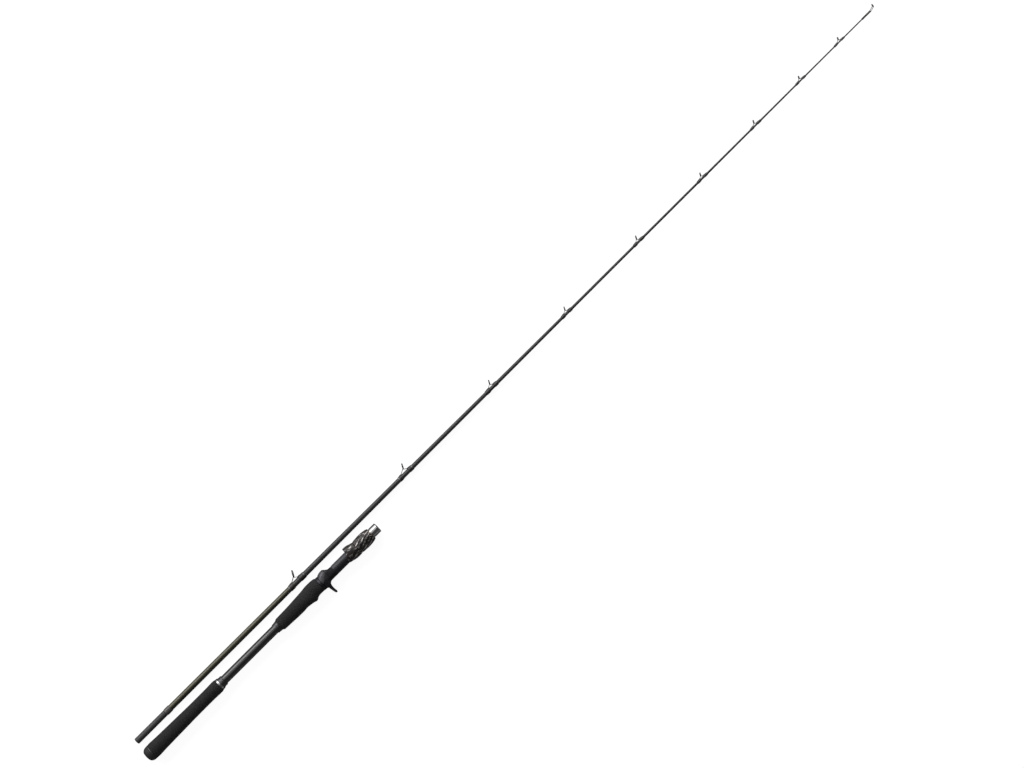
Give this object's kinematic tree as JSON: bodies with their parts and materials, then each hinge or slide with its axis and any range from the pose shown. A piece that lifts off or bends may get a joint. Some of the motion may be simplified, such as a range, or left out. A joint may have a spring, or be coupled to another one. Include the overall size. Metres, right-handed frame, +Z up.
{
  "type": "fishing rod",
  "caption": "Two-piece casting rod taken apart: handle with foam grips and trigger reel seat, and a slender tip section with ring guides; no reel fitted.",
  "frame": {"origin": "on the surface that the two sections lie on, in the middle of the rod's box", "axes": "+X along both sections towards the tip, +Y towards the side that the guides and the reel stand on, +Z up from the surface"},
  "size_m": [1.6234, 0.0746, 0.025],
  "materials": {
    "black_rubber": "matte moulded rubber",
    "satin_alloy": "dark satin anodised, with bright turned edges",
    "grip_foam": "matte closed-cell foam, finely pitted",
    "tube_carbon": "clear-coated black carbon tube",
    "seat_resin": "satin charcoal moulding",
    "polished_steel": "polished",
    "ferrule_brass": "plain turned brass",
    "hood_shell": "gloss over dark woven fibre",
    "nut_shell": "gloss over dark woven fibre",
    "blank_carbon": "clear-coated dark olive-grey carbon, thinner coat towards the tip",
    "ferrule_coat": "thin resin coat",
    "guide_metal": "dark smoked metal",
    "ring_ceramic": "polished dark grey ceramic",
    "wrap_thread": "dark brown thread under clear resin"
  },
  "bodies": {
    "handle": {"butt_cap": "black_rubber", "butt_ring": "satin_alloy", "rear_grip": "grip_foam", "rear_grip_check": "satin_alloy", "handle_tube": "tube_carbon", "main_grip_check": "satin_alloy", "main_grip": "grip_foam", "seat_ring": "satin_alloy", "reel_seat": "seat_resin", "front_collar": "polished_steel", "ferrule_socket": "ferrule_brass", "socket_stop": "black_rubber"},
    "front_hood": {"front_hood": "hood_shell"},
    "lock_nut": {"lock_nut": "nut_shell"},
    "tip_section": {"blank": "blank_carbon", "butt_plug": "black_rubber", "ferrule_wrap": "ferrule_coat", "guide_1_frame": "guide_metal", "guide_1_ring": "ring_ceramic", "guide_1_rear_wrap": "wrap_thread", "guide_1_front_wrap": "wrap_thread", "guide_2_frame": "guide_metal", "guide_2_ring": "ring_ceramic", "guide_2_rear_wrap": "wrap_thread", "guide_2_front_wrap": "wrap_thread", "guide_3_frame": "guide_metal", "guide_3_ring": "ring_ceramic", "guide_3_rear_wrap": "wrap_thread", "guide_3_front_wrap": "wrap_thread", "guide_4_frame": "guide_metal", "guide_4_ring": "ring_ceramic", "guide_4_rear_wrap": "wrap_thread", "guide_4_front_wrap": "wrap_thread", "guide_5_frame": "guide_metal", "guide_5_ring": "ring_ceramic", "guide_5_rear_wrap": "wrap_thread", "guide_5_front_wrap": "wrap_thread", "guide_6_frame": "guide_metal", "guide_6_ring": "ring_ceramic", "guide_6_rear_wrap": "wrap_thread", "guide_6_front_wrap": "wrap_thread", "guide_7_frame": "guide_metal", "guide_7_ring": "ring_ceramic", "guide_7_rear_wrap": "wrap_thread", "guide_7_front_wrap": "wrap_thread", "guide_8_frame": "guide_metal", "guide_8_ring": "ring_ceramic", "guide_8_rear_wrap": "wrap_thread", "guide_8_front_wrap": "wrap_thread", "guide_9_frame": "guide_metal", "guide_9_ring": "ring_ceramic", "guide_9_rear_wrap": "wrap_thread", "guide_9_front_wrap": "wrap_thread", "tip_top_frame": "guide_metal", "tip_top_ring": "ring_ceramic", "tip_top_wrap": "wrap_thread"}
  },
  "joints": [
    {"name": "hood_slide", "type": "slide", "parent": "handle", "child": "front_hood", "axis": [1, 0, 0], "range_m": [-0.0051, 0.0121]},
    {"name": "nut_turn", "type": "hinge", "parent": "front_hood", "child": "lock_nut", "pos_m": [-0.3368, -0.01015, 0.0125], "axis": [1, 0, 0], "range_deg": [-600, 1440]},
    {"name": "tip_draw", "type": "slide", "parent": "handle", "child": "tip_section", "axis": [1, 0, 0], "range_m": [0, 0.57]}
  ],
  "couplings": [
    {"joint": "hood_slide", "follows": "nut_turn", "m_per_rad": 0.00047746}
  ]
}
